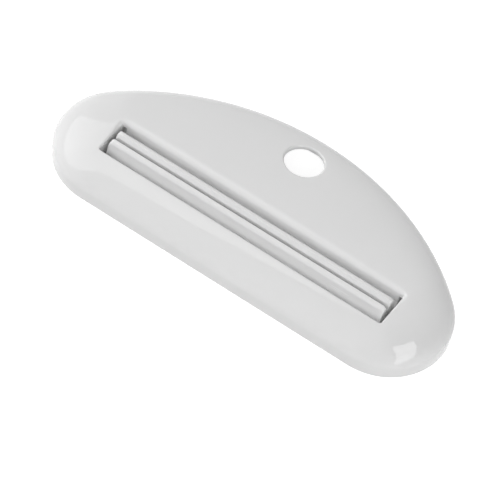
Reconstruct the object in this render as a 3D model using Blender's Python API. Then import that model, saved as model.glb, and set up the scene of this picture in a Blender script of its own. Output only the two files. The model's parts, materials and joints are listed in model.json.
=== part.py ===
"""Toothpaste tube squeezer: a half-moon moulded shell with two sprung lips that pinch the tube.

The tube's tail goes up through the slit between the lips. Each lip stands in the shell's window on a
thin flexible strip, its hinge web, that joins the foot of the lip to the window's long wall. The lip
rocks about the line where that strip meets the wall.

The origin is at the middle of the shell's footprint, on the surface it stands on. +X runs along the
slit, +Y from the straight front edge to the curved rear edge, +Z up through the dome.
"""
import math

import bmesh
import bpy
from mathutils import Matrix, Vector

MM = 0.001

# Outline of the shell, seen from above
LENGTH = 93.0 * MM
WIDTH = 41.1 * MM
END_RADIUS = 13.9 * MM

# Section of the shell
RIM_HEIGHT = 7.2 * MM
SKIRT_HEIGHT = 2.8 * MM
WALL = 1.3 * MM
BASE_CHAMFER = 0.25 * MM
DOME_FULLNESS = 2.06

# Window for the lips
WINDOW_LENGTH = 68.6 * MM
WINDOW_WIDTH = 8.85 * MM
WINDOW_SETBACK = 7.9 * MM
WINDOW_CORNER = 0.5 * MM
FRONT_RIM_FILLET = 0.3 * MM
REAR_RIM_FILLET = 0.9 * MM
WELL_FOOT = 1.0 * MM

# Relief slots, which free the ends of the window's long walls below the skin
RELIEF_TOP = 5.7 * MM
RELIEF_CORNER = 0.15 * MM
RELIEF_OVERCUT = 0.3 * MM

# Hang hole
HOLE_RADIUS = 4.22 * MM
HOLE_INSET = 8.55 * MM

# Lips
LIP_THICKNESS = 1.5 * MM
LIP_FLARE = 1.1 * MM
LIP_END_GAP = 0.95 * MM
LIP_PROUD = 0.7 * MM
LIP_CORNER = 0.8 * MM
LIP_EDGE_ROUND = 0.25 * MM
LIP_BACK_ROUND = 0.4 * MM
MOUTH_WIDTH = 0.5 * MM
MOUTH_DEPTH = 0.8 * MM
SLIT = 0.8 * MM

# Hinge webs
WEB_THICKNESS = 0.7 * MM
WEB_FOOT = 2.6 * MM
WEB_LEAD_IN = 0.5 * MM
SEAT_GAP = 0.3 * MM

# Mesh resolution
WINDOW_LEAD = 0.18
SHARP_ANGLE = math.radians(35)
STEPS_ALONG_SIDE = 28
DOME_RINGS = 9
LINING_RINGS = 6
RIM_STEPS = 3
ARC_STEPS = 6
HOLE_SIDES = 48

# Places that follow from the sizes
FRONT_Y = -WIDTH / 2
REAR_Y = WIDTH / 2
WINDOW_FRONT_Y = FRONT_Y + WINDOW_SETBACK
WINDOW_Y = WINDOW_FRONT_Y + WINDOW_WIDTH / 2
HOLE_Y = REAR_Y - HOLE_INSET
LIP_TOP = RIM_HEIGHT + LIP_PROUD
LIP_LENGTH = WINDOW_LENGTH - 2 * LIP_END_GAP
LIP_FOOT = WEB_FOOT + WEB_THICKNESS + SEAT_GAP
HINGE_Z = WEB_FOOT + WEB_THICKNESS / 2
HINGE_OFFSET = WINDOW_WIDTH / 2 - SEAT_GAP / 2
SLIT_REACH = HINGE_OFFSET - SLIT / 2


def clear_scene():
    for item in list(bpy.data.objects):
        bpy.data.objects.remove(item, do_unlink=True)


def plastic(name, value, roughness):
    """White polypropylene, as glossy as the mould left it."""
    material = bpy.data.materials.new(name)
    material.use_nodes = True
    shader = material.node_tree.nodes["Principled BSDF"]
    shader.inputs["Base Color"].default_value = (value, value, value, 1.0)
    shader.inputs["Roughness"].default_value = roughness
    shader.inputs["Metallic"].default_value = 0.0
    return material


def line(start, heading, length):
    """Straight piece of a chain: its length, and the point at a distance along it."""
    direction = Vector((math.cos(heading), math.sin(heading)))
    return length, lambda distance: Vector(start) + direction * distance


def arc(centre, radius, start_angle, end_angle):
    """Round piece of a chain, from one angle about its centre to another."""
    turn = math.copysign(1.0, end_angle - start_angle)

    def point(distance):
        angle = start_angle + turn * distance / radius
        return Vector(centre) + radius * Vector((math.cos(angle), math.sin(angle)))

    return radius * abs(end_angle - start_angle), point


def along(chain, fraction):
    """Point at a fraction of the way along a chain of pieces."""
    left = fraction * sum(length for length, _ in chain)
    for length, point in chain[:-1]:
        if left <= length:
            return point(left)
        left -= length
    length, point = chain[-1]
    return point(min(left, length))


def half_moon(inset):
    """The right half of the outline, moved inwards: a front chain and a rear chain.

    The front chain runs from the middle of the front edge to the tip at the right end. The rear chain
    runs from the middle of the rear arc to the same tip. The rear arc's radius is the one that meets
    the round ends without a corner.
    """
    end = END_RADIUS - inset
    flat = LENGTH / 2 - END_RADIUS
    depth = WIDTH - 2 * inset
    rear = (flat**2 + depth * (depth - 2 * end)) / (2 * (depth - 2 * end))
    end_centre = (flat, FRONT_Y + END_RADIUS)
    rear_centre = (0.0, REAR_Y - inset - rear)
    meeting = math.atan2(end_centre[1] - rear_centre[1], flat)
    front = [line((0.0, FRONT_Y + inset), 0.0, flat), arc(end_centre, end, -math.pi / 2, 0.0)]
    back = [arc(rear_centre, rear, math.pi / 2, meeting), arc(end_centre, end, meeting, 0.0)]
    return front, back


def window(offset):
    """The right half of the window's rectangle, grown outwards: a front chain and a rear chain."""
    half_length = WINDOW_LENGTH / 2 + offset
    half_width = WINDOW_WIDTH / 2 + offset
    corner = WINDOW_CORNER + offset
    chains = []
    for side in (-1, 1):
        start = (0.0, WINDOW_Y + side * half_width)
        centre = (half_length - corner, WINDOW_Y + side * (half_width - corner))
        upright = (half_length, centre[1])
        chains.append(
            [
                line(start, 0.0, half_length - corner),
                arc(centre, corner, side * math.pi / 2, 0.0),
                line(upright, -side * math.pi / 2, half_width - corner),
            ]
        )
    return chains


def spread(fraction):
    """Moves the window's points ahead of the outline's, so the rows between them meet both squarely."""
    return fraction + WINDOW_LEAD * math.sin(math.pi * fraction)


def full_loop(point):
    """Closed loop of points from point(side, fraction): the right half, then its mirror image."""
    steps = range(STEPS_ALONG_SIDE + 1)
    front = [point(0, step / STEPS_ALONG_SIDE) for step in steps]
    rear = [point(1, step / STEPS_ALONG_SIDE) for step in steps]
    half = front + rear[-2::-1]
    return half + [Vector((-p.x, p.y)) for p in half[-2:0:-1]]


def outline_loop(inset):
    chains = half_moon(inset)
    return full_loop(lambda side, fraction: along(chains[side], fraction))


def window_loop(offset):
    chains = window(offset)
    return full_loop(lambda side, fraction: along(chains[side], spread(fraction)))


def at_height(loop, height):
    return [Vector((p.x, p.y, height)) for p in loop]


def rim_fillets(loop):
    """Fillet radius at each point of the window's rim: crisp in front, growing softer to the rear."""
    radii = []
    for p in loop:
        depth = (p.y - WINDOW_FRONT_Y) / WINDOW_WIDTH
        radii.append(FRONT_RIM_FILLET + (REAR_RIM_FILLET - FRONT_RIM_FILLET) * depth**2)
    return radii


def rim_ring(angle):
    """Ring on the rounded rim of the window: 0 is its upright wall, a quarter turn the dome's top."""
    wall = window_loop(0.0)
    reach = max(FRONT_RIM_FILLET, REAR_RIM_FILLET)
    outer = window_loop(reach)
    ring = []
    for inside, outside, radius in zip(wall, outer, rim_fillets(wall)):
        place = inside.lerp(outside, radius * (1 - math.cos(angle)) / reach)
        ring.append(Vector((place.x, place.y, RIM_HEIGHT - radius * (1 - math.sin(angle)))))
    return ring


def dome_rings(inner, outer, count):
    """Rings of a rounded dome from a level inner ring down to an upright outer one."""
    rings = []
    for step in range(count + 1):
        angle = math.pi / 2 * step / count
        share = math.sin(angle)
        rise = max(math.cos(angle), 0.0) ** (2 / DOME_FULLNESS)
        ring = []
        for top, foot in zip(inner, outer):
            place = top.lerp(foot, share)
            ring.append(Vector((place.x, place.y, foot.z + (top.z - foot.z) * rise)))
        rings.append(ring)
    return rings


def shell_rings():
    """Rings round the shell's section: up the window wall, over the dome, and back underneath."""
    rings = [at_height(window_loop(0.0), WELL_FOOT)]
    rings += [rim_ring(math.pi / 2 * step / RIM_STEPS) for step in range(RIM_STEPS)]
    rings += dome_rings(rim_ring(math.pi / 2), at_height(outline_loop(0.0), SKIRT_HEIGHT), DOME_RINGS)
    rings.append(at_height(outline_loop(0.0), BASE_CHAMFER))
    rings.append(at_height(outline_loop(BASE_CHAMFER), 0.0))
    rings.append(at_height(outline_loop(WALL), 0.0))
    lining_top = at_height(window_loop(WALL), RIM_HEIGHT - WALL)
    lining_foot = at_height(outline_loop(WALL), SKIRT_HEIGHT)
    rings += reversed(dome_rings(lining_top, lining_foot, LINING_RINGS))
    rings.append(at_height(window_loop(WALL), WELL_FOOT))
    return rings


def skin(rings, wrap):
    """Mesh over a row of closed rings; wrap joins the last to the first, or else both ends are capped."""
    builder = bmesh.new()
    loops = [[builder.verts.new(p) for p in ring] for ring in rings]
    pairs = list(zip(loops, loops[1:]))
    if wrap:
        pairs.append((loops[-1], loops[0]))
    else:
        builder.faces.new(loops[0])
        builder.faces.new(loops[-1])
    for near, far in pairs:
        for place, corner in enumerate(near):
            after = (place + 1) % len(near)
            builder.faces.new((corner, far[place], far[after], near[after]))
    bmesh.ops.recalc_face_normals(builder, faces=builder.faces)
    return builder


def add_object(name, builder, material):
    """New object from a bmesh, shaded smooth except at its sharp edges."""
    mesh = bpy.data.meshes.new(name)
    builder.to_mesh(mesh)
    builder.free()
    mesh.shade_smooth()
    mesh.set_sharp_from_angle(angle=SHARP_ANGLE)
    mesh.materials.append(material)
    item = bpy.data.objects.new(name, mesh)
    bpy.context.scene.collection.objects.link(item)
    return item


def add_cutter(name, builder, place):
    """New guide that a boolean cuts with; it isn't a piece."""
    mesh = bpy.data.meshes.new(name)
    builder.to_mesh(mesh)
    builder.free()
    cutter = bpy.data.objects.new(name, mesh)
    cutter.location = place
    cutter.hide_render = True
    cutter.display_type = "WIRE"
    bpy.context.scene.collection.objects.link(cutter)
    return cutter


def hole_cutter():
    """Upright cylinder that bores the hang hole."""
    builder = bmesh.new()
    bmesh.ops.create_cone(
        builder,
        cap_ends=True,
        segments=HOLE_SIDES,
        radius1=HOLE_RADIUS,
        radius2=HOLE_RADIUS,
        depth=4 * RIM_HEIGHT,
    )
    return add_cutter("hang_hole_cutter", builder, (0.0, HOLE_Y, RIM_HEIGHT / 2))


def relief_cutter():
    """Four upright blocks, one for each end of each long wall, that cut the relief slots."""
    near, far = LIP_LENGTH / 2, WINDOW_LENGTH / 2 + RELIEF_CORNER
    size = Vector((far - near, WALL + 2 * RELIEF_OVERCUT, 2 * RELIEF_TOP))
    builder = bmesh.new()
    for side in (-1, 1):
        for end in (-1, 1):
            middle = Vector((end * (near + far) / 2, side * (WINDOW_WIDTH + WALL) / 2, 0.0))
            matrix = Matrix.Translation(middle) @ Matrix.Diagonal((*size, 1.0))
            bmesh.ops.create_cube(builder, size=1.0, matrix=matrix)
    return add_cutter("relief_slot_cutter", builder, (0.0, WINDOW_Y, 0.0))


def build_shell(material):
    """Domed half-moon shell: skin, upright window walls with relief slots, hollow underside and hang hole."""
    shell = add_object("shell", skin(shell_rings(), wrap=True), material)
    for name, cutter in (("hang_hole", hole_cutter()), ("relief_slots", relief_cutter())):
        cut = shell.modifiers.new(name, "BOOLEAN")
        cut.operation = "DIFFERENCE"
        cut.object = cutter
    return shell


def corner_round(corner, radius, start_angle, end_angle):
    """Points of the fillet in a corner between two straight sides, anticlockwise.

    The angles are the directions in which the two sides face.
    """
    half_turn = (end_angle - start_angle) / 2
    middle = start_angle + half_turn
    reach = radius / math.cos(half_turn)
    centre = (corner[0] - reach * math.cos(middle), corner[1] - reach * math.sin(middle))
    points = []
    for step in range(ARC_STEPS + 1):
        angle = start_angle + (end_angle - start_angle) * step / ARC_STEPS
        points.append((centre[0] + radius * math.cos(angle), centre[1] + radius * math.sin(angle)))
    return points


def lip_section(drop):
    """Section of a lip: upright on the slit's side, bevelled there at the top, and thicker towards its foot.

    y grows from the hinge to the slit, and heights are measured from the hinge line. The drop lowers
    the top and leaves the foot.
    """
    foot = LIP_FOOT - HINGE_Z
    top = LIP_TOP - HINGE_Z - drop
    flare = LIP_FLARE / (LIP_TOP - LIP_FOOT)
    back = SLIT_REACH - LIP_THICKNESS - flare * drop
    back_foot = SLIT_REACH - LIP_THICKNESS - LIP_FLARE
    crest = SLIT_REACH - MOUTH_WIDTH
    bevel_facing = math.atan2(MOUTH_WIDTH, MOUTH_DEPTH)
    back_facing = math.pi - math.atan(flare)
    outline = [(back_foot, foot), (SLIT_REACH, foot), (SLIT_REACH, top - MOUTH_DEPTH)]
    outline += corner_round((crest, top), LIP_EDGE_ROUND, bevel_facing, math.pi / 2)
    outline += corner_round((back, top), LIP_BACK_ROUND, math.pi / 2, back_facing)
    return outline


def lip_stations():
    """Places along half a lip, from its middle to its end, with how far the top has dropped there."""
    stations = [(0.0, 0.0)]
    for step in range(ARC_STEPS + 1):
        angle = math.pi / 2 * step / ARC_STEPS
        x = LIP_LENGTH / 2 - LIP_CORNER * (1 - math.sin(angle))
        stations.append((x, LIP_CORNER * (1 - math.cos(angle))))
    return stations


def build_lip(name, side, material, hinge):
    """Blade on one side of the slit; side is -1 in front and 1 behind."""
    half = lip_stations()
    stations = [(-x, drop) for x, drop in half[:0:-1]] + half
    rings = [[Vector((x, -side * y, z)) for y, z in lip_section(drop)] for x, drop in stations]
    lip = add_object(name, skin(rings, wrap=False), material)
    lip.parent = hinge
    return lip


def build_web(name, side, material, hinge):
    """Thin strip from the window wall to under the lip, with a rounded lead-in below the slit."""
    root = SEAT_GAP / 2
    half = WEB_THICKNESS / 2
    lead_in = corner_round((SLIT_REACH, -half), WEB_LEAD_IN, -math.pi / 2, 0.0)
    profile = [(root, half), (root, -half)] + lead_in + [(SLIT_REACH, half)]
    ends = (-LIP_LENGTH / 2, LIP_LENGTH / 2)
    rings = [[Vector((x, -side * y, z)) for y, z in profile] for x in ends]
    web = add_object(name, skin(rings, wrap=False), material)
    web.parent = hinge
    return web


def hinge_line(name, side):
    """Empty on the line where a hinge web meets its window wall."""
    empty = bpy.data.objects.new(name, None)
    empty.location = (0.0, WINDOW_Y + side * HINGE_OFFSET, HINGE_Z)
    bpy.context.scene.collection.objects.link(empty)
    return empty


def main():
    clear_scene()
    shell_plastic = plastic("shell_plastic", 0.80, 0.22)
    lip_plastic = plastic("lip_plastic", 0.80, 0.28)
    build_shell(shell_plastic)
    for word, side in (("front", -1), ("rear", 1)):
        hinge = hinge_line(word + "_hinge_line", side)
        build_lip(word + "_lip", side, lip_plastic, hinge)
        build_web(word + "_hinge_web", side, lip_plastic, hinge)


main()
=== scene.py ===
"""Looks of the toothpaste tube squeezer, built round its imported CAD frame.

The squeezer is one white polypropylene moulding: a half-moon dome with a long window in which two upright
lips stand on thin hinge strips. The tube's tail goes up between the lips.

The file is laid out as an add-on and run as a script. Every size is in metres, in the frame's own axes:
+X along the slit, +Y from the straight front edge to the curved rear edge, +Z up through the dome.
"""
import json
import math

import bmesh
import bpy
from bpy.props import FloatProperty, FloatVectorProperty, IntProperty, PointerProperty
from mathutils import Matrix, Vector


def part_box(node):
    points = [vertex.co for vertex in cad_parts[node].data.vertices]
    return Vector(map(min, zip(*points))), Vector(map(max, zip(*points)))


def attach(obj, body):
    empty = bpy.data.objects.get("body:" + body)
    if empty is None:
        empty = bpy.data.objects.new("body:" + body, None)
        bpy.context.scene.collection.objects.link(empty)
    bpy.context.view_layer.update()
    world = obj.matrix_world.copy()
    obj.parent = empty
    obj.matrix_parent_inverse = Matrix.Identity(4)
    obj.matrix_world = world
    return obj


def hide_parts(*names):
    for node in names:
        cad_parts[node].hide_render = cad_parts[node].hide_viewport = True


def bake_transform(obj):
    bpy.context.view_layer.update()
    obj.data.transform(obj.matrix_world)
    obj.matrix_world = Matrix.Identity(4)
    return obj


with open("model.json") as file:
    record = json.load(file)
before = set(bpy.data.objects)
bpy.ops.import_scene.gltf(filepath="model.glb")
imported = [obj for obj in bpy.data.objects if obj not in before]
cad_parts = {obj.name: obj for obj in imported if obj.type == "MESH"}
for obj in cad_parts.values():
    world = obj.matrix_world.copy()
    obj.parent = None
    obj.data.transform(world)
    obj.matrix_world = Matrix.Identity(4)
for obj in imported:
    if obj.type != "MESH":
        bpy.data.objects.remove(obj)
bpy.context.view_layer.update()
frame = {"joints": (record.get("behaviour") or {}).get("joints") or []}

bl_info = {
    "name": "Tube Squeezer Looks",
    "version": (1, 0, 0),
    "blender": (4, 5, 0),
    "location": "3D View > Sidebar > Squeezer",
    "description": "Builds a moulded tube squeezer round its CAD frame",
    "category": "Object",
}

SHELL_LOW, SHELL_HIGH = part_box("shell")
LIP_LOW, LIP_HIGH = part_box("front_lip")
WEB_LOW, WEB_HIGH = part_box("front_hinge_web")
HINGES = {joint["child"]: Vector(joint["pos_m"]) for joint in frame["joints"]}
MM = 0.001
QUARTER = math.pi / 2
SIDES = (("front", -1), ("rear", 1))

# Points across each zone of the shell's skin, and where its columns bunch: (from, to, share of the way)
WALL_ROWS = 7
FILLET_ROWS = 9
DOME_ROWS = 45
SKIRT_ROWS = 4
EDGE_ROWS = 6
BASE_ROWS = 3
LINING_ROWS = 29
COLUMN_BUNCHES = ((0.0, 0.45, 0.72), (0.45, 0.75, 0.09), (0.75, 1.0, 0.19))
WINDOW_LEAD = 0.18
ARC_STEPS = 96
WELD = 0.002 * MM
CUT_WELD = 0.0005 * MM

# What cuts the hang hole and the relief slots, and how far it runs past the skin
HOLE_COLUMNS = 121
HOLE_FLARE = math.radians(78)
HOLE_REACH = (-2.0 * MM, 12.0 * MM)
RELIEF_OVERCUT = 0.3 * MM

# Steps along a lip and round its corners, and across a strip
LIP_STATIONS = (0.0, 0.25, 0.5, 0.75)
LIP_CORNER_STEPS = 12
CROWN_STEPS = 9
EDGE_STEPS = 4
STRIP_STEPS = 40

# Patterns of the moulded skin, in waves for each metre
FLOW_SCALE = 70.0
WAVE_SCALE = 240.0
SCRATCH_SCALE = 1500.0
SCRATCH_STRETCH = (0.08, 1.0, 1.0)
SCRATCH_TURN = (0.0, 0.0, 0.5)
SCRATCH_LEVELS = (0.66, 0.72)
PLASTIC_IOR = 1.49

# Floor, and the part of it that is seen through the window: y from, y to, and what is added beyond the lips
FLOOR_HALF_SIDE = 3.0
FLOOR_PAINT = 0.8
SHADOW_PAINT = 0.3
FLOOR_GLOW = 0.9
UNDER_WINDOW = (-19.0 * MM, 8.0 * MM)
WINDOW_MARGIN = 4.0 * MM
# Share of the floor's glow kept below the window: painted light that lightens the dark gaps seen through it
PAINTED_GAP_GLOW = 0.14

# Camera: what it looks at, and how far that lies from the middle of the picture
AIM = Vector((0.0, -12.9 * MM, 0.0))
FRAMING = (-3.42 * MM, -1.28 * MM)
SENSOR_WIDTH = 36.0
NEAREST_SEEN = 10.0 * MM

# Lamps for the even light: name, azimuth and elevation in degrees, and strength
CARD_DISTANCE = 1.2
CARD_SIZE = (0.8, 0.4)
LIGHT_CARDS = (
    ("left_card", -90.0, 24.0, 7.75),
    ("front_left_card", -45.0, 42.0, 1.4),
    ("front_card", 0.0, 42.0, 1.7),
    ("high_front_card", 0.0, 65.0, 1.25),
    ("front_right_card", 45.0, 42.0, 3.8),
    ("low_front_right_card", 45.0, 24.0, 1.1),
    ("low_right_card", 90.0, 8.0, 3.15),
    ("rear_card", 180.0, 42.0, 1.0),
    ("rear_left_card", -135.0, 24.0, 2.2),
)

# Sheets that the gloss reflects: name, azimuth and elevation in degrees, corners, frame's width, and strength
SHEET_DISTANCE = 1.0
LEFT_SHEET = (
    (-0.59, -0.36),
    (0.22, -0.47),
    (0.61, -0.34),
    (0.61, 0.0),
    (0.27, 0.32),
    (0.0, 0.392),
    (-0.1, 0.43),
    (-0.66, 0.52),
)
RIGHT_SHEET = ((-0.78, -0.72), (0.035, -0.256), (0.46, 0.426), (0.12, 0.42))
SOFTBOXES = (
    ("left_softbox", -90.0, 51.0, LEFT_SHEET, 0.06, 1.5),
    ("right_softbox", 83.5, 47.2, RIGHT_SHEET, 0.02, 3.0),
)
FRAMED_SIDES = 3
FRAME_BLACK = 0.01


# Node wiring

def add_node(tree, kind, inputs=None, **settings):
    """New node with its settings, and its inputs, by name or number, set or linked."""
    node = tree.nodes.new(kind)
    for name, value in settings.items():
        setattr(node, name, value)
    for name, value in (inputs or {}).items():
        feed(tree, node.inputs[name], value)
    return node


def feed(tree, socket, value):
    """Link a socket to a field or another socket, or give it a plain value."""
    if isinstance(value, Field):
        tree.links.new(value.socket, socket)
    elif isinstance(value, bpy.types.NodeSocket):
        tree.links.new(value, socket)
    else:
        socket.default_value = value


class Field:
    """A number or place in a node tree that can be used in sums, so that a rule reads as it is written."""

    def __init__(self, tree, socket):
        self.tree = tree
        self.socket = socket

    def math(self, operation, *others):
        inputs = dict(enumerate((self, *others)))
        node = add_node(self.tree, "ShaderNodeMath", inputs, operation=operation)
        return Field(self.tree, node.outputs[0])

    def __add__(self, other):
        return self.math("ADD", other)

    def __sub__(self, other):
        return self.math("SUBTRACT", other)

    def __mul__(self, other):
        return self.math("MULTIPLY", other)

    def __truediv__(self, other):
        return self.math("DIVIDE", other)

    def __pow__(self, other):
        return self.math("POWER", other)

    def __rsub__(self, other):
        return self * -1.0 + other

    def __rtruediv__(self, other):
        return self ** -1.0 * other

    __radd__ = __add__

    def axis(self, name):
        """One coordinate of a place."""
        node = add_node(self.tree, "ShaderNodeSeparateXYZ", {0: self})
        return Field(self.tree, node.outputs[name])


def place(tree, x, y, z=0.0):
    """Place made of three coordinates."""
    node = add_node(tree, "ShaderNodeCombineXYZ", {"X": x, "Y": y, "Z": z})
    return Field(tree, node.outputs[0])


def between(tree, start, end, share):
    """Place at a share of the way from one place to another."""
    inputs = {0: share, 4: start, 5: end}
    node = add_node(tree, "ShaderNodeMix", inputs, data_type="VECTOR", clamp_factor=False)
    return Field(tree, node.outputs[1])


def new_tree(name, kind, inputs, outputs):
    """Node group with named inputs and outputs; gives the tree, its input fields and its output node.

    An input is written as (name, socket type, default or None).
    """
    tree = bpy.data.node_groups.new(name, kind)
    for label, socket_type, default in inputs:
        socket = tree.interface.new_socket(name=label, in_out="INPUT", socket_type=socket_type)
        if default is not None:
            socket.default_value = default
    for label, socket_type in outputs:
        tree.interface.new_socket(name=label, in_out="OUTPUT", socket_type=socket_type)
    source = tree.nodes.new("NodeGroupInput")
    fields = {label: Field(tree, source.outputs[label]) for label, _, _ in inputs}
    return tree, fields, tree.nodes.new("NodeGroupOutput")


def numbers(**defaults):
    """Float inputs for new_tree, named from the keywords."""
    return [(name.replace("_", " ").title(), "NodeSocketFloat", value) for name, value in defaults.items()]


def grey(value):
    return (value, value, value, 1.0)


# Rules of the shell, as Geometry Nodes

def straight(tree, start, end):
    """Line from one place to another."""
    node = add_node(tree, "GeometryNodeCurvePrimitiveLine", {"Start": start, "End": end}, mode="POINTS")
    return node.outputs[0]


def bend(tree, centre, radius, start_angle, sweep):
    """Arc about a centre from one angle through a sweep, clockwise where the sweep is negative."""
    inputs = {"Resolution": ARC_STEPS, "Radius": radius, "Start Angle": start_angle, "Sweep Angle": sweep}
    arc = add_node(tree, "GeometryNodeCurveArc", inputs, mode="RADIUS")
    moved = add_node(tree, "GeometryNodeTransform", {0: arc.outputs[0], "Translation": centre})
    return moved.outputs[0]


def chained(tree, *pieces):
    """The pieces of a chain as one geometry, in their order: the link made last comes out first."""
    node = tree.nodes.new("GeometryNodeJoinGeometry")
    for piece in reversed(pieces):
        tree.links.new(piece, node.inputs[0])
    return node.outputs[0]


def half_moon_chain():
    """Right half of the shell's outline, moved inwards: a front and a rear chain that meet at the tip.

    The rear arc's radius is the one that meets the round end without a corner.
    """
    tree, size, out = new_tree(
        "half_moon_chain",
        "GeometryNodeTree",
        numbers(length=0.093, width=0.041, end_radius=0.014, inset=0.0),
        [("Front", "NodeSocketGeometry"), ("Rear", "NodeSocketGeometry")],
    )
    end = size["End Radius"] - size["Inset"]
    flat = size["Length"] * 0.5 - size["End Radius"]
    depth = size["Width"] - size["Inset"] * 2.0
    slack = depth - end * 2.0
    rear = (flat * flat + depth * slack) / (slack * 2.0)
    front_y = size["Width"] * -0.5
    centre_y = front_y + size["End Radius"]
    rear_y = size["Width"] * 0.5 - size["Inset"] - rear
    meeting = (centre_y - rear_y).math("ARCTAN2", flat)
    end_centre = place(tree, flat, centre_y)
    edge_y = front_y + size["Inset"]
    front = chained(
        tree,
        straight(tree, place(tree, 0.0, edge_y), place(tree, flat, edge_y)),
        bend(tree, end_centre, end, -QUARTER, QUARTER),
    )
    back = chained(
        tree,
        bend(tree, place(tree, 0.0, rear_y), rear, QUARTER, meeting - QUARTER),
        bend(tree, end_centre, end, meeting, meeting * -1.0),
    )
    feed(tree, out.inputs["Front"], front)
    feed(tree, out.inputs["Rear"], back)
    return tree


def window_chain():
    """Right half of the window's round-cornered rectangle, grown outwards: a front and a rear chain."""
    tree, size, out = new_tree(
        "window_chain",
        "GeometryNodeTree",
        numbers(window_length=0.069, window_width=0.009, window_middle=-0.008, corner=0.0005, offset=0.0),
        [("Front", "NodeSocketGeometry"), ("Rear", "NodeSocketGeometry")],
    )
    half_length = size["Window Length"] * 0.5 + size["Offset"]
    half_width = size["Window Width"] * 0.5 + size["Offset"]
    corner = size["Corner"] + size["Offset"]
    turn_x = half_length - corner
    for name, side in (("Front", -1.0), ("Rear", 1.0)):
        edge_y = size["Window Middle"] + half_width * side
        turn_y = edge_y - corner * side
        end = place(tree, half_length, size["Window Middle"])
        chain = chained(
            tree,
            straight(tree, place(tree, 0.0, edge_y), place(tree, turn_x, edge_y)),
            bend(tree, place(tree, turn_x, turn_y), corner, side * QUARTER, -side * QUARTER),
            straight(tree, place(tree, half_length, turn_y), end),
        )
        feed(tree, out.inputs[name], chain)
    return tree


def sampled(tree, chains, fraction, on_rear):
    """Place at a fraction of the way along the front chain, or the rear one where on_rear is set."""
    samples = []
    for name in ("Front", "Rear"):
        node = add_node(
            tree,
            "GeometryNodeSampleCurve",
            {"Curves": chains.outputs[name], "Factor": fraction},
            mode="FACTOR",
            use_all_curves=True,
        )
        samples.append(node.outputs["Position"])
    inputs = {"Switch": on_rear, "False": samples[0], "True": samples[1]}
    node = add_node(tree, "GeometryNodeSwitch", inputs, input_type="VECTOR")
    return Field(tree, node.outputs[0])


def lifted(tree, spot, height):
    """The same spot seen from above, at a height."""
    return place(tree, spot.axis("X"), spot.axis("Y"), height)


def rounding(angle):
    """How far a fillet has come inwards and down at an angle, as shares of its radius."""
    return 1.0 - angle.math("COSINE"), 1.0 - angle.math("SINE")


def dome_share(tree, turn, fullness):
    """Share of the way out, and share of the height, at a turn from the crown (0) to the skirt (1)."""
    angle = turn * QUARTER
    rise = angle.math("COSINE").math("MAXIMUM", 0.0) ** (2.0 / fullness)
    return angle.math("SINE"), rise


def grid(tree, columns, rows, spot):
    """Sheet of quads, columns by rows, whose points lie where the rule puts them."""
    inputs = {"Size X": 1.0, "Size Y": 1.0, "Vertices X": columns, "Vertices Y": rows}
    flat = add_node(tree, "GeometryNodeMeshGrid", inputs)
    moved = add_node(tree, "GeometryNodeSetPosition", {"Geometry": flat.outputs[0], "Position": spot})
    return moved.outputs[0]


def welded(tree, geometry, distance=WELD):
    """Geometry whose points that lie together are made one."""
    node = add_node(tree, "GeometryNodeMergeByDistance", {"Geometry": geometry, "Distance": distance})
    return node.outputs[0]


def bunched(tree, share):
    """Fraction of the way round, with the columns close together where they pass the window's corners."""
    total = None
    for low, high, gain in COLUMN_BUNCHES:
        node = add_node(tree, "ShaderNodeMapRange", {0: share, 1: low, 2: high, 3: 0.0, 4: gain})
        part = Field(tree, node.outputs[0])
        total = part if total is None else total + part
    return total


def on_loop(tree, kind, size, names, offset_name, offset, fraction, on_rear):
    """Place on one of the loops round the shell: its outline or its window, moved by an offset."""
    chains = add_node(tree, "GeometryNodeGroup", node_tree=kind)
    for name in names:
        feed(tree, chains.inputs[name], size[name])
    feed(tree, chains.inputs[offset_name], offset)
    return sampled(tree, chains, fraction, on_rear)


def hole_cutter(tree, size, skin):
    """Body that bores the hang hole, flared at the top to round the hole's edge where it meets the dome."""
    along = Field(tree, add_node(tree, "GeometryNodeInputPosition").outputs[0])
    angle = (along.axis("X") + 0.5) * (4 * QUARTER)
    turn = along.axis("Y") + 0.5
    inwards, down = rounding(turn * HOLE_FLARE)
    radius = size["Hole Radius"]
    edge = size["Hole Round"]
    brim = radius + edge * (1 - math.cos(HOLE_FLARE))
    brim_drop = edge * (1 - math.sin(HOLE_FLARE))
    low, high = HOLE_REACH

    def ring(reach, height=None, drop=None):
        """Places round the hole, at a height or at one worked out from the skin's own height there."""
        x = angle.math("COSINE") * reach
        y = angle.math("SINE") * reach + size["Hole Middle"]
        if height is not None:
            return place(tree, x, y, height)
        inputs = {
            "Target Geometry": skin,
            "Source Position": place(tree, x, y, high),
            "Ray Direction": (0.0, 0.0, -1.0),
            "Ray Length": 1.0,
        }
        hit = add_node(tree, "GeometryNodeRaycast", inputs)
        top = Field(tree, hit.outputs["Hit Position"]).axis("Z")
        return place(tree, x, y, drop(top))

    zones = (
        (2, ring(radius * turn, height=low)),
        (4, ring(radius, drop=lambda top: (top - edge - low) * turn + low)),
        (8, ring(radius + edge * inwards, drop=lambda top: top - edge * down)),
        (2, ring(brim, drop=lambda top: (high - top + brim_drop) * turn + top - brim_drop)),
        (2, ring(brim * (1.0 - turn), height=high)),
    )
    sheets = [grid(tree, HOLE_COLUMNS, rows, rule) for rows, rule in zones]
    return welded(tree, chained(tree, *sheets))


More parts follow.
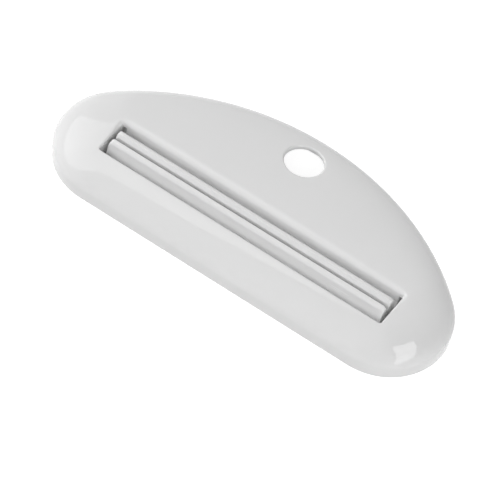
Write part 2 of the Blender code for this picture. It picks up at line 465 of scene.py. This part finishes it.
def relief_cutters(tree, size):
    """Blocks that cut the relief slots, one for each end of each long wall of the window."""
    near = size["Relief Start"]
    far = size["Window Length"] * 0.5 + size["Relief Corner"]
    wall = size["Wall"]
    block = place(tree, far - near, wall + 2.0 * RELIEF_OVERCUT, size["Relief Top"] * 2.0)
    blocks = []
    for side in (-1.0, 1.0):
        for end in (-1.0, 1.0):
            x = (near + far) * (0.5 * end)
            y = (size["Window Width"] + wall) * (0.5 * side) + size["Window Middle"]
            cube = add_node(tree, "GeometryNodeMeshCube", {"Size": block})
            moved = {"Geometry": cube.outputs[0], "Translation": place(tree, x, y)}
            blocks.append(add_node(tree, "GeometryNodeTransform", moved).outputs[0])
    return chained(tree, *blocks)


def finished_shell(tree, size, whole):
    """The whole skin, bored for the hang hole and slotted, cleaned and given its two plastics."""
    cut = whole
    for cutter in (hole_cutter(tree, size, whole), relief_cutters(tree, size)):
        inputs = {"Mesh 1": cut, "Mesh 2": cutter}
        settings = {"operation": "DIFFERENCE", "solver": "EXACT"}
        cut = add_node(tree, "GeometryNodeMeshBoolean", inputs, **settings).outputs["Mesh"]
    clean = welded(tree, cut, CUT_WELD)
    real = add_node(tree, "GeometryNodeRealizeInstances", {"Geometry": clean})
    lined = add_node(tree, "GeometryNodeMaterialSelection", {"Material": size["Lining Plastic"]})
    outer = add_node(tree, "FunctionNodeBooleanMath", {0: lined.outputs[0]}, operation="NOT")
    inputs = {"Geometry": real.outputs[0], "Selection": outer.outputs[0], "Material": size["Plastic"]}
    return add_node(tree, "GeometryNodeSetMaterial", inputs).outputs[0]


def shell_rule():
    """The whole shell from its sizes: rings swept round its section, mirrored and cut."""
    sizes = numbers(
        length=0.093,
        width=0.041,
        end_radius=0.014,
        rim_height=0.007,
        skirt_height=0.003,
        wall=0.0013,
        base_round=0.00025,
        dome_fullness=2.0,
        window_length=0.069,
        window_width=0.009,
        window_middle=-0.008,
        corner=0.0005,
        front_rim_round=0.0003,
        rear_rim_round=0.0009,
        well_foot=0.001,
        foot_round=0.0003,
        hole_radius=0.004,
        hole_middle=0.012,
        hole_round=0.0002,
        relief_start=0.0333,
        relief_top=0.0057,
        relief_corner=0.00015,
    )
    sizes += [("Columns", "NodeSocketInt", 193)]
    sizes += [("Plastic", "NodeSocketMaterial", None), ("Lining Plastic", "NodeSocketMaterial", None)]
    outputs = [("Shell", "NodeSocketGeometry")]
    tree, size, out = new_tree("squeezer_shell", "GeometryNodeTree", sizes, outputs)
    spot = Field(tree, add_node(tree, "GeometryNodeInputPosition").outputs[0])
    round_trip = spot.axis("X") + 0.5
    turn = spot.axis("Y") + 0.5
    on_rear = round_trip.math("GREATER_THAN", 0.5)
    fraction = bunched(tree, 1.0 - (round_trip * 2.0 - 1.0).math("ABSOLUTE"))
    ahead = fraction + (fraction * (2 * QUARTER)).math("SINE") * WINDOW_LEAD

    moon, opening = half_moon_chain(), window_chain()
    moon_names = ("Length", "Width", "End Radius")
    opening_names = ("Window Length", "Window Width", "Window Middle", "Corner")

    def outline(inset):
        return on_loop(tree, moon, size, moon_names, "Inset", inset, fraction, on_rear)

    def window(offset):
        """Its points run ahead of the outline's, so that the rows between them meet both squarely."""
        return on_loop(tree, opening, size, opening_names, "Offset", offset, ahead, on_rear)

    rim_height, wall, skirt = size["Rim Height"], size["Wall"], size["Skirt Height"]
    edge, tip = outline(0.0), outline(size["Base Round"])
    inner_edge = outline(wall)
    rim, wide_rim, well = window(0.0), window(size["Rear Rim Round"]), window(wall)

    depth = (rim.axis("Y") - size["Window Middle"]) / size["Window Width"] + 0.5
    softness = size["Rear Rim Round"] - size["Front Rim Round"]
    radius = size["Front Rim Round"] + softness * depth * depth
    reach = radius / size["Rear Rim Round"]
    foot = size["Well Foot"] + size["Foot Round"]

    inwards, down = rounding(turn * QUARTER)
    rim_fillet = lifted(tree, between(tree, rim, wide_rim, reach * inwards), rim_height - radius * down)
    crown = between(tree, rim, wide_rim, reach)
    share, rise = dome_share(tree, turn, size["Dome Fullness"])
    dome = lifted(tree, between(tree, crown, edge, share), skirt + (rim_height - skirt) * rise)
    share, rise = dome_share(tree, 1.0 - turn, size["Dome Fullness"])
    lining_top = rim_height - wall
    lining = lifted(tree, between(tree, well, inner_edge, share), skirt + (lining_top - skirt) * rise)
    base_round = size["Base Round"]
    nose = (turn * (2 * QUARTER)).math("SINE")
    nose_share = 0.5 - (turn * (2 * QUARTER)).math("COSINE") * 0.5

    outside = (
        (WALL_ROWS, lifted(tree, rim, foot + (rim_height - radius - foot) * turn)),
        (FILLET_ROWS, rim_fillet),
        (DOME_ROWS, dome),
        (SKIRT_ROWS, lifted(tree, edge, skirt + (base_round - skirt) * turn)),
        (EDGE_ROWS, lifted(tree, between(tree, edge, tip, inwards), base_round * down)),
    )
    inside = (
        (BASE_ROWS, lifted(tree, between(tree, tip, inner_edge, turn), 0.0)),
        (SKIRT_ROWS, lifted(tree, inner_edge, skirt * turn)),
        (LINING_ROWS, lining),
        (WALL_ROWS, lifted(tree, well, lining_top + (foot - lining_top) * turn)),
        (FILLET_ROWS, lifted(tree, between(tree, well, rim, nose_share), foot - size["Foot Round"] * nose)),
    )
    skins = []
    for zones, plastic in ((outside, "Plastic"), (inside, "Lining Plastic")):
        sheets = [grid(tree, size["Columns"], rows, rule) for rows, rule in zones]
        inputs = {"Geometry": chained(tree, *sheets), "Material": size[plastic]}
        skins.append(add_node(tree, "GeometryNodeSetMaterial", inputs).outputs[0])
    half = chained(tree, *skins)
    mirrored = add_node(tree, "GeometryNodeTransform", {"Geometry": half, "Scale": (-1.0, 1.0, 1.0)})
    turned = add_node(tree, "GeometryNodeFlipFaces", {"Mesh": half})
    whole = welded(tree, chained(tree, turned.outputs[0], mirrored.outputs[0]))
    feed(tree, out.inputs["Shell"], finished_shell(tree, size, whole))
    return tree


# Lips and hinge strips

def loft(rings):
    """Mesh over a row of closed rings of places, with both ends capped."""
    builder = bmesh.new()
    loops = [[builder.verts.new(spot) for spot in ring] for ring in rings]
    builder.faces.new(loops[0])
    builder.faces.new(loops[-1])
    for near, far in zip(loops, loops[1:]):
        for number, corner in enumerate(near):
            after = (number + 1) % len(near)
            builder.faces.new((corner, far[number], far[after], near[after]))
    bmesh.ops.recalc_face_normals(builder, faces=builder.faces)
    return builder


def new_piece(name, builder, material):
    """Object of its own from a mesh builder, in one material."""
    mesh = bpy.data.meshes.new(name)
    builder.to_mesh(mesh)
    builder.free()
    mesh.materials.append(material)
    piece = bpy.data.objects.new(name, mesh)
    bpy.context.scene.collection.objects.link(piece)
    return piece


def made_plain(piece, sharp_angle=math.radians(40)):
    """Turns what a piece's modifiers make into its own plain mesh, smooth but for its sharp edges."""
    graph = bpy.context.evaluated_depsgraph_get()
    mesh = bpy.data.meshes.new_from_object(piece.evaluated_get(graph), depsgraph=graph)
    piece.modifiers.clear()
    piece.data = mesh
    mesh.name = piece.name
    mesh.shade_smooth()
    mesh.set_sharp_from_angle(angle=sharp_angle)
    return piece


def rounded_edges(piece, radius, over_angle=math.radians(30)):
    """Gives a piece's edges a rounding where its faces meet at more than an angle."""
    rounding_off = piece.modifiers.new("rounded_edges", "BEVEL")
    rounding_off.width = radius
    rounding_off.segments = EDGE_STEPS
    rounding_off.limit_method = "ANGLE"
    rounding_off.angle_limit = over_angle
    rounding_off.harden_normals = False
    return piece


def rounded_corner(corner, radius, start_angle, end_angle, steps):
    """Points of the fillet in a corner between two sides that face these two ways."""
    half_turn = (end_angle - start_angle) / 2
    middle = start_angle + half_turn
    reach = radius / math.cos(half_turn)
    centre_y, centre_z = corner[0] - reach * math.cos(middle), corner[1] - reach * math.sin(middle)
    angles = [start_angle + (end_angle - start_angle) * step / steps for step in range(steps + 1)]
    return [(centre_y + radius * math.cos(angle), centre_z + radius * math.sin(angle)) for angle in angles]


def lip_profile(lips, drop):
    """Section of a lip, y from the hinge and z from the floor: its back leans and rounds over the top."""
    slope = lips.flare / (LIP_HIGH.z - LIP_LOW.z)
    top = LIP_HIGH.z - drop
    foot = WEB_HIGH.z - lips.sink

    def back(height):
        return lips.reach - lips.thickness - slope * (LIP_HIGH.z - height)

    crest = lips.reach - lips.mouth_width
    points = [(back(foot), foot), (lips.reach, foot), (lips.reach, top - lips.mouth_depth), (crest, top)]
    lean = 2 * QUARTER - math.atan(slope)
    return points + rounded_corner((back(top), top), lips.crown, QUARTER, lean, CROWN_STEPS)


def lip_body(lips):
    """Rings along an upright blade, its upper corners rounded off at both ends."""
    half_length = (LIP_HIGH.x - LIP_LOW.x) / 2
    stations = [(x * half_length, 0.0) for x in LIP_STATIONS]
    for step in range(LIP_CORNER_STEPS + 1):
        angle = QUARTER * step / LIP_CORNER_STEPS
        x = half_length - lips.corner * (1 - math.sin(angle))
        stations.append((x, lips.corner * (1 - math.cos(angle))))
    stations = [(-x, drop) for x, drop in stations[:0:-1]] + stations
    return [[Vector((x, y, z)) for y, z in lip_profile(lips, drop)] for x, drop in stations]


def strip_rings(strip, reach):
    """Rings across a hinge strip, from just inside the window wall, where it is thicker, to the slit."""
    half = (WEB_HIGH.z - WEB_LOW.z) / 2
    middle = (WEB_HIGH.z + WEB_LOW.z) / 2
    half_length = (WEB_HIGH.x - WEB_LOW.x) / 2
    rings = []
    for step in range(STRIP_STEPS + 1):
        y = -strip.overlap + (reach + strip.overlap) * step / STRIP_STEPS
        root = max(0.0, 1.0 - max(y, 0.0) / strip.fillet)
        thick = half + strip.fillet * (1 - math.sqrt(1 - root**2))
        corners = ((-half_length, middle - thick), (half_length, middle - thick))
        corners += ((half_length, middle + thick), (-half_length, middle + thick))
        rings.append([Vector((x, y, z)) for x, z in corners])
    return rings


def stood_at(rings, hinge, side):
    """Rings drawn from the hinge line to the slit, put in their place: side is -1 in front, 1 behind."""
    return [[Vector((spot.x, hinge.y - side * spot.y, spot.z)) for spot in ring] for ring in rings]


# Finishes

def moulded_skin():
    """What any moulded surface shows: faint flow clouding, fine grain, a slow waviness and light scuffs."""
    sockets = [("Color", "NodeSocketColor", (0.7, 0.7, 0.7, 1.0))]
    sockets += numbers(clouding=0.01, grain_size=0.6 * MM, grain_depth=0.002 * MM, wave_depth=0.003 * MM)
    sockets += numbers(roughness=0.2, roughness_spread=0.04, scuffs=0.1)
    outputs = [("Color", "NodeSocketColor"), ("Roughness", "NodeSocketFloat")]
    outputs += [("Normal", "NodeSocketVector")]
    tree, value, out = new_tree("moulded_skin", "ShaderNodeTree", sockets, outputs)
    spot = add_node(tree, "ShaderNodeTexCoord").outputs["Object"]

    def noise(scale, detail, distortion=0.0):
        inputs = {"Vector": spot, "Scale": scale, "Detail": detail, "Distortion": distortion}
        return Field(tree, add_node(tree, "ShaderNodeTexNoise", inputs).outputs["Fac"])

    flow = noise(FLOW_SCALE, 3.0, 0.6)
    grain = noise(value["Grain Size"] ** -1.0, 2.0)
    wave = noise(WAVE_SCALE, 1.0)
    tone = 1.0 + (flow - 0.5) * 2.0 * value["Clouding"] + (grain - 0.5) * value["Clouding"]
    tinted = add_node(tree, "ShaderNodeVectorMath", {0: value["Color"], "Scale": tone}, operation="SCALE")
    feed(tree, out.inputs["Color"], tinted.outputs[0])

    turned = {"Vector": spot, "Rotation": SCRATCH_TURN, "Scale": SCRATCH_STRETCH}
    stretched = add_node(tree, "ShaderNodeMapping", turned)
    streaks = {"Vector": stretched.outputs[0], "Scale": SCRATCH_SCALE, "Detail": 1.0}
    scratch = Field(tree, add_node(tree, "ShaderNodeTexNoise", streaks).outputs["Fac"])
    low, high = SCRATCH_LEVELS
    marks = add_node(tree, "ShaderNodeMapRange", {0: scratch, 1: low, 2: high, 3: 0.0, 4: 1.0})
    scuffed = Field(tree, marks.outputs[0]) * value["Scuffs"]
    uneven = (flow - 0.5) * 2.0 * value["Roughness Spread"]
    feed(tree, out.inputs["Roughness"], value["Roughness"] + uneven + scuffed)

    normal = None
    for height, depth in ((wave, "Wave Depth"), (grain, "Grain Depth")):
        inputs = {"Strength": 1.0, "Distance": value[depth], "Height": height}
        if normal:
            inputs["Normal"] = normal
        normal = add_node(tree, "ShaderNodeBump", inputs).outputs[0]
    feed(tree, out.inputs["Normal"], normal)
    return tree


def moulded_plastic(name, skin, look, **values):
    """White polypropylene with the moulded skin's own values."""
    material = bpy.data.materials.new(name)
    material.use_nodes = True
    tree = material.node_tree
    shader = tree.nodes["Principled BSDF"]
    surface = add_node(tree, "ShaderNodeGroup", node_tree=skin)
    feed(tree, surface.inputs["Color"], (*look.color, 1.0))
    for label, amount in values.items():
        feed(tree, surface.inputs[label.replace("_", " ").title()], amount)
    for source, target in (("Color", "Base Color"), ("Roughness", "Roughness"), ("Normal", "Normal")):
        tree.links.new(surface.outputs[source], shader.inputs[target])
    shader.inputs["IOR"].default_value = PLASTIC_IOR
    shader.inputs["Subsurface Weight"].default_value = look.subsurface
    shader.inputs["Subsurface Scale"].default_value = look.subsurface_depth
    shader.inputs["Subsurface Radius"].default_value = (1.0, 1.0, 1.0)
    return material


def finish_named(name):
    """The squeezer's finish of that name, made the first time that it is asked for."""
    found = bpy.data.materials.get(name)
    if found:
        return found
    skin = bpy.data.node_groups.get("moulded_skin") or moulded_skin()
    look = bpy.context.scene.squeezer_finish
    values = {
        "lining_finish": {"roughness": look.lining_roughness, "grain_depth": 0.008 * MM, "scuffs": 0.02},
        "lip_finish": {"roughness": look.lip_roughness, "scuffs": 0.04},
        "shell_finish": {
            "roughness": look.shell_roughness,
            "roughness_spread": 0.01,
            "grain_depth": 0.0005 * MM,
            "wave_depth": 0.002 * MM,
            "scuffs": 0.04,
        },
    }
    return moulded_plastic(name, skin, look, **values[name])


# Sizes and colours that a user would change

def distance(name, description, value):
    """Property that holds a length in metres."""
    return FloatProperty(
        name=name,
        description=description,
        default=value,
        min=0.0,
        precision=5,
        unit="LENGTH",
        subtype="DISTANCE",
    )


def factor(name, description, value, high=1.0):
    """Property that holds a plain number from 0."""
    return FloatProperty(name=name, description=description, default=value, min=0.0, max=high, precision=3)


def degrees(name, description, value):
    """Property that holds an angle, given in degrees."""
    return FloatProperty(name=name, description=description, default=math.radians(value), subtype="ANGLE")


class SqueezerShell(bpy.types.PropertyGroup):
    """Sizes that the shell's rule takes, named as its inputs are."""

    length: distance("Length", "Shell from end to end", SHELL_HIGH.x - SHELL_LOW.x)
    width: distance("Width", "Shell from front to rear", SHELL_HIGH.y - SHELL_LOW.y)
    end_radius: distance("End Radius", "Radius of the round ends, seen from above", 13.9 * MM)
    rim_height: distance("Rim Height", "Height of the crown round the window", SHELL_HIGH.z)
    skirt_height: distance("Skirt Height", "Height of the upright skirt below the dome", 2.8 * MM)
    wall: distance("Wall", "Thickness of the moulding", 1.3 * MM)
    base_round: distance("Base Round", "Rounding of the skirt's lower edge", 0.25 * MM)
    dome_fullness: factor("Dome Fullness", "2 is a quarter ellipse, and more is fuller", 2.06, 4.0)
    window_length: distance("Window Length", "Opening for the lips, along the slit", 68.6 * MM)
    window_width: distance("Window Width", "Opening for the lips, across the slit", 8.85 * MM)
    corner: distance("Corner", "Radius of the window's corners", 0.5 * MM)
    front_rim_round: distance("Front Rim Round", "Rounding of the window's front rim", 0.3 * MM)
    rear_rim_round: distance("Rear Rim Round", "Rounding of the window's rear rim", 0.9 * MM)
    well_foot: distance("Well Foot", "Height of the window wall's foot above the floor", 1.0 * MM)
    foot_round: distance("Foot Round", "Rounding of the window wall's foot", 0.3 * MM)
    hole_radius: distance("Hole Radius", "Radius of the hang hole", 4.22 * MM)
    hole_middle: distance("Hole Middle", "Hang hole's centre behind the shell's middle", 12.0 * MM)
    hole_round: distance("Hole Round", "Rounding of the hang hole's upper edge", 0.45 * MM)
    relief_start: distance("Relief Start", "Shell's middle to the slots in the window walls", LIP_HIGH.x)
    relief_top: distance("Relief Top", "Height that the relief slots reach", 5.7 * MM)
    relief_corner: distance("Relief Corner", "How far these slots run past the window's ends", 0.15 * MM)
    columns: IntProperty(
        name="Columns", description="Points round half the shell", default=193, min=33, max=385
    )


class SqueezerLips(bpy.types.PropertyGroup):
    """Sizes of a lip's section, measured from its hinge line towards the slit."""

    reach: distance("Reach", "Hinge line to the lip's face on the slit", 3.875 * MM)
    thickness: distance("Thickness", "Lip from its back to the slit, at the top", 1.5 * MM)
    flare: distance("Flare", "How much thicker the lip is at its foot", 1.1 * MM)
    mouth_width: distance("Mouth Width", "Bevel at the top, seen from above", 0.5 * MM)
    mouth_depth: distance("Mouth Depth", "Height of that bevel", 0.8 * MM)
    corner: distance("Corner", "Rounding of the upper corners at the lip's ends", 0.8 * MM)
    sink: distance("Sink", "How far the lip's foot is sunk in its strip", 0.2 * MM)
    crown: distance("Crown", "Rounding of the upper edge away from the slit", 0.85 * MM)
    edge: distance("Edge", "Rounding of the lip's other edges", 0.12 * MM)


class SqueezerStrips(bpy.types.PropertyGroup):
    """Sizes of the hinge strips."""

    overlap: distance("Overlap", "How far a strip runs into the window wall", 0.3 * MM)
    fillet: distance("Fillet", "Fillet where a strip meets the window wall", 0.35 * MM)
    bend: distance("Bend", "Length beside the wall that bends with the lip", 1.1 * MM)


class SqueezerFinish(bpy.types.PropertyGroup):
    """Colour and gloss of the moulding."""

    color: FloatVectorProperty(
        name="Colour",
        description="White of the plastic",
        default=(0.8, 0.8, 0.8),
        size=3,
        min=0.0,
        max=1.0,
        subtype="COLOR",
    )
    shell_roughness: factor("Shell Roughness", "Roughness of the domed skin", 0.035)
    lip_roughness: factor("Lip Roughness", "Roughness of the lips", 0.24)
    lining_roughness: factor("Lining Roughness", "Roughness of the hollow underside", 0.42)
    subsurface: factor("Subsurface", "Share of the light that passes through the plastic's skin", 0.3)
    subsurface_depth: distance("Subsurface Depth", "How far that light goes", 1.2 * MM)


class SqueezerStage(bpy.types.PropertyGroup):
    """Camera and light of the studio."""

    azimuth: degrees("Azimuth", "Camera's turn round the squeezer", 24.59)
    elevation: degrees("Elevation", "Camera's height above the horizon", 54.0)
    roll: degrees("Roll", "Camera's turn about its own line of sight", 11.53)
    stand_off: distance("Stand-off", "Camera's distance from the window's front rim", 0.7)
    lens: FloatProperty(
        name="Lens",
        description="Focal length in millimetres",
        default=249.8,
        min=1.0,
        subtype="DISTANCE_CAMERA",
    )
    fill: factor("Fill", "Strength of the even light from all round", 0.12, 4.0)


# One operator for each piece or group of like pieces

class SQUEEZER_OT_shell(bpy.types.Operator):
    """Make the domed shell from its rule, and let it stand for the CAD shell"""

    bl_idname = "squeezer.shell"
    bl_label = "Make Shell"

    def execute(self, context):
        sizes = context.scene.squeezer_shell
        materials = {"Plastic": finish_named("shell_finish")}
        materials["Lining Plastic"] = finish_named("lining_finish")
        shell = bpy.data.objects.new("domed_shell", bpy.data.meshes.new("domed_shell"))
        context.scene.collection.objects.link(shell)
        rule = shell.modifiers.new("shell_rule", "NODES")
        rule.node_group = shell_rule()
        for socket in rule.node_group.interface.items_tree:
            if socket.in_out != "INPUT":
                continue
            if socket.name in materials:
                rule[socket.identifier] = materials[socket.name]
            elif socket.name == "Window Middle":
                rule[socket.identifier] = (HINGES["front_jaw"].y + HINGES["rear_jaw"].y) / 2
            else:
                rule[socket.identifier] = getattr(sizes, socket.name.lower().replace(" ", "_"))
        made_plain(shell)
        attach(shell, "shell")
        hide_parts("shell")
        return {"FINISHED"}


class SQUEEZER_OT_lips(bpy.types.Operator):
    """Make both upright lips with rounded edges, and let them stand for the CAD lips"""

    bl_idname = "squeezer.lips"
    bl_label = "Make Lips"

    def execute(self, context):
        lips = context.scene.squeezer_lips
        for word, side in SIDES:
            hinge = HINGES[word + "_jaw"]
            builder = loft(stood_at(lip_body(lips), hinge, side))
            lip = new_piece(word + "_blade", builder, finish_named("lip_finish"))
            made_plain(rounded_edges(lip, lips.edge))
            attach(lip, word + "_jaw")
            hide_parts(word + "_lip")
        return {"FINISHED"}


class SQUEEZER_OT_strips(bpy.types.Operator):
    """Make both hinge strips beside the window wall, in place of the CAD hinge webs"""

    bl_idname = "squeezer.strips"
    bl_label = "Make Hinge Strips"

    def execute(self, context):
        strip = context.scene.squeezer_strips
        reach = context.scene.squeezer_lips.reach
        for word, side in SIDES:
            hinge = HINGES[word + "_jaw"]
            builder = loft(stood_at(strip_rings(strip, reach), hinge, side))
            piece = new_piece(word + "_hinge_strip", builder, finish_named("lip_finish"))
            made_plain(piece)
            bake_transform(piece)
            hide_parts(word + "_hinge_web")
        return {"FINISHED"}


def direction(turn, lift):
    """Way from the squeezer to something at a turn round it and a lift above the horizon."""
    return Vector((math.sin(turn) * math.cos(lift), -math.cos(turn) * math.cos(lift), math.sin(lift)))


def facing_squeezer(azimuth, elevation, distance_away):
    """Matrix of something flat that faces the squeezer from a distance, its angles in degrees."""
    towards = direction(math.radians(azimuth), math.radians(elevation))
    facing = (-towards).to_track_quat("-Z", "Y").to_matrix().to_4x4()
    return Matrix.Translation(towards * distance_away) @ facing


def light_card(name, azimuth, elevation, strength):
    """Rectangular lamp that faces the squeezer and doesn't show in reflections."""
    lamp = bpy.data.lights.new(name, "AREA")
    lamp.shape = "RECTANGLE"
    lamp.size, lamp.size_y = CARD_SIZE
    lamp.energy = strength * math.pi * CARD_SIZE[0] * CARD_SIZE[1]
    card = bpy.data.objects.new(name, lamp)
    card.matrix_world = facing_squeezer(azimuth, elevation, CARD_DISTANCE)
    card.visible_glossy = False
    bpy.context.scene.collection.objects.link(card)


def emptied(owner):
    """Node tree of a material or world, with nothing in it."""
    owner.use_nodes = True
    owner.node_tree.nodes.clear()
    return owner.node_tree


def glowing_sheet(name, strength):
    """Material that adds its light to what is behind it."""
    material = bpy.data.materials.new(name)
    tree = emptied(material)
    glow = add_node(tree, "ShaderNodeEmission", {"Color": grey(1.0), "Strength": strength})
    clear = add_node(tree, "ShaderNodeBsdfTransparent")
    added = add_node(tree, "ShaderNodeAddShader", {0: glow.outputs[0], 1: clear.outputs[0]})
    add_node(tree, "ShaderNodeOutputMaterial", {"Surface": added.outputs[0]})
    return material


def black_frame(name):
    material = bpy.data.materials.new(name)
    tree = emptied(material)
    black = add_node(tree, "ShaderNodeBsdfDiffuse", {"Color": grey(FRAME_BLACK)})
    add_node(tree, "ShaderNodeOutputMaterial", {"Surface": black.outputs[0]})
    return material


def softbox(name, azimuth, elevation, outline, frame_width, strength):
    """Glowing sheet in a dark frame that shows in reflections alone, its outline drawn in its own plane.

    Only the outline's first sides have a frame.
    """
    builder = bmesh.new()
    inner = [builder.verts.new((x, y, 0.0)) for x, y in outline]
    outer = [builder.verts.new(corner.co * (1 + frame_width / corner.co.length)) for corner in inner]
    builder.faces.new(inner)
    for number, corner in enumerate(inner[:FRAMED_SIDES]):
        edge = builder.faces.new((corner, outer[number], outer[number + 1], inner[number + 1]))
        edge.material_index = 1
    box = new_piece(name, builder, glowing_sheet(name + "_sheet", strength))
    box.data.materials.append(black_frame(name + "_frame"))
    box.matrix_world = facing_squeezer(azimuth, elevation, SHEET_DISTANCE)
    box.visible_camera = False
    box.visible_diffuse = False
    box.visible_transmission = False
    box.visible_shadow = False


def seen_straight(tree):
    """Share that is 1 where the camera, a glossy ray or a clear one looks at the surface."""
    path = add_node(tree, "ShaderNodeLightPath")
    rays = Field(tree, path.outputs["Is Camera Ray"])
    for name in ("Is Glossy Ray", "Is Transmission Ray"):
        rays = rays.math("MAXIMUM", Field(tree, path.outputs[name]))
    return rays


def looked_at_from_below(tree):
    """Share that is 1 where the camera looks at the back of a face."""
    back = Field(tree, add_node(tree, "ShaderNodeNewGeometry").outputs["Backfacing"])
    return back * Field(tree, add_node(tree, "ShaderNodeLightPath").outputs["Is Camera Ray"])


def outside_window(tree):
    """Share of the floor's white that is seen: little below the window, where the squeezer keeps it dark;
    that little is painted light in the gaps.
    """
    spot = Field(tree, add_node(tree, "ShaderNodeTexCoord").outputs["Object"])
    half_width = (UNDER_WINDOW[1] - UNDER_WINDOW[0]) / 2
    middle = (UNDER_WINDOW[1] + UNDER_WINDOW[0]) / 2
    beside = spot.axis("X").math("ABSOLUTE").math("GREATER_THAN", LIP_HIGH.x + WINDOW_MARGIN)
    before = (spot.axis("Y") - middle).math("ABSOLUTE").math("GREATER_THAN", half_width)
    return beside.math("MAXIMUM", before).math("MAXIMUM", PAINTED_GAP_GLOW)


class SQUEEZER_OT_stage(bpy.types.Operator):
    """Set the pale floor, the soft studio light and the camera"""

    bl_idname = "squeezer.stage"
    bl_label = "Set Stage"

    def execute(self, context):
        scene = context.scene
        stage = scene.squeezer_stage
        self.lay_floor()
        self.light(scene, stage)
        self.place_camera(scene, stage)
        scene.view_settings.view_transform = "Standard"
        return {"FINISHED"}

    def lay_floor(self):
        """White to the camera, pale to the light, and clear from below, so that the underside shows."""
        builder = bmesh.new()
        bmesh.ops.create_grid(builder, x_segments=1, y_segments=1, size=FLOOR_HALF_SIDE)
        material = bpy.data.materials.new("pale_floor")
        tree = emptied(material)
        paint = add_node(tree, "ShaderNodeBsdfDiffuse", {"Color": grey(FLOOR_PAINT)})
        shadowed = add_node(tree, "ShaderNodeBsdfDiffuse", {"Color": grey(SHADOW_PAINT)})
        glow = add_node(tree, "ShaderNodeEmission", {"Color": grey(1.0), "Strength": FLOOR_GLOW})
        pale = add_node(tree, "ShaderNodeAddShader", {0: shadowed.outputs[0], 1: glow.outputs[0]})
        # Below the window only a small share of the glow is kept: painted light in the gaps' shade
        seen = seen_straight(tree) * outside_window(tree)
        mixed = add_node(tree, "ShaderNodeMixShader", {0: seen, 1: paint.outputs[0], 2: pale.outputs[0]})
        clear = add_node(tree, "ShaderNodeBsdfTransparent")
        inputs = {0: looked_at_from_below(tree), 1: mixed.outputs[0], 2: clear.outputs[0]}
        one_way = add_node(tree, "ShaderNodeMixShader", inputs)
        add_node(tree, "ShaderNodeOutputMaterial", {"Surface": one_way.outputs[0]})
        new_piece("floor", builder, material)

    def light(self, scene, stage):
        """Dim world that is white to the camera, cards for even light, and sheets for the gloss."""
        scene.world = bpy.data.worlds.new("studio")
        tree = emptied(scene.world)
        fill = add_node(tree, "ShaderNodeBackground", {"Color": grey(1.0), "Strength": stage.fill})
        white = add_node(tree, "ShaderNodeBackground", {"Color": grey(1.0), "Strength": 1.0})
        inputs = {0: seen_straight(tree), 1: fill.outputs[0], 2: white.outputs[0]}
        mixed = add_node(tree, "ShaderNodeMixShader", inputs)
        add_node(tree, "ShaderNodeOutputWorld", {"Surface": mixed.outputs[0]})
        for card in LIGHT_CARDS:
            light_card(*card)
        for box in SOFTBOXES:
            softbox(*box)

    def place_camera(self, scene, stage):
        data = bpy.data.cameras.new("studio_camera")
        data.sensor_width = SENSOR_WIDTH
        data.lens = stage.lens
        data.clip_start = NEAREST_SEEN
        camera = bpy.data.objects.new("studio_camera", data)
        back = direction(stage.azimuth, stage.elevation)
        level = Vector((math.cos(stage.azimuth), math.sin(stage.azimuth), 0.0))
        upright = back.cross(level)
        right = math.cos(stage.roll) * level + math.sin(stage.roll) * upright
        up = math.cos(stage.roll) * upright - math.sin(stage.roll) * level
        where = AIM + back * stage.stand_off - right * FRAMING[0] - up * FRAMING[1]
        turned = Matrix((right, up, back)).transposed().to_4x4()
        camera.matrix_world = Matrix.Translation(where) @ turned
        scene.collection.objects.link(camera)
        scene.camera = camera


class SQUEEZER_PT_panel(bpy.types.Panel):
    """Sizes and finishes of the squeezer, and what makes its pieces"""

    bl_label = "Tube Squeezer"
    bl_idname = "SQUEEZER_PT_panel"
    bl_space_type = "VIEW_3D"
    bl_region_type = "UI"
    bl_category = "Squeezer"

    def draw(self, context):
        for title, group, operator in PARTS:
            box = self.layout.box()
            box.label(text=title)
            settings = getattr(context.scene, group)
            for name in settings.__annotations__:
                box.prop(settings, name)
            if operator:
                box.operator(operator)


PARTS = (
    ("Shell", "squeezer_shell", "squeezer.shell"),
    ("Lips", "squeezer_lips", "squeezer.lips"),
    ("Hinge Strips", "squeezer_strips", "squeezer.strips"),
    ("Finish", "squeezer_finish", None),
    ("Stage", "squeezer_stage", "squeezer.stage"),
)
GROUPS = {
    "squeezer_shell": SqueezerShell,
    "squeezer_lips": SqueezerLips,
    "squeezer_strips": SqueezerStrips,
    "squeezer_finish": SqueezerFinish,
    "squeezer_stage": SqueezerStage,
}
OPERATORS = (SQUEEZER_OT_shell, SQUEEZER_OT_lips, SQUEEZER_OT_strips, SQUEEZER_OT_stage)


def register():
    for item in (*GROUPS.values(), *OPERATORS, SQUEEZER_PT_panel):
        bpy.utils.register_class(item)
    for name, group in GROUPS.items():
        setattr(bpy.types.Scene, name, PointerProperty(type=group))


def unregister():
    for name in GROUPS:
        delattr(bpy.types.Scene, name)
    for item in (SQUEEZER_PT_panel, *reversed(OPERATORS), *GROUPS.values()):
        bpy.utils.unregister_class(item)


def main():
    register()
    bpy.ops.squeezer.shell()
    bpy.ops.squeezer.lips()
    bpy.ops.squeezer.strips()
    bpy.ops.squeezer.stage()


if __name__ == "__main__":
    main()
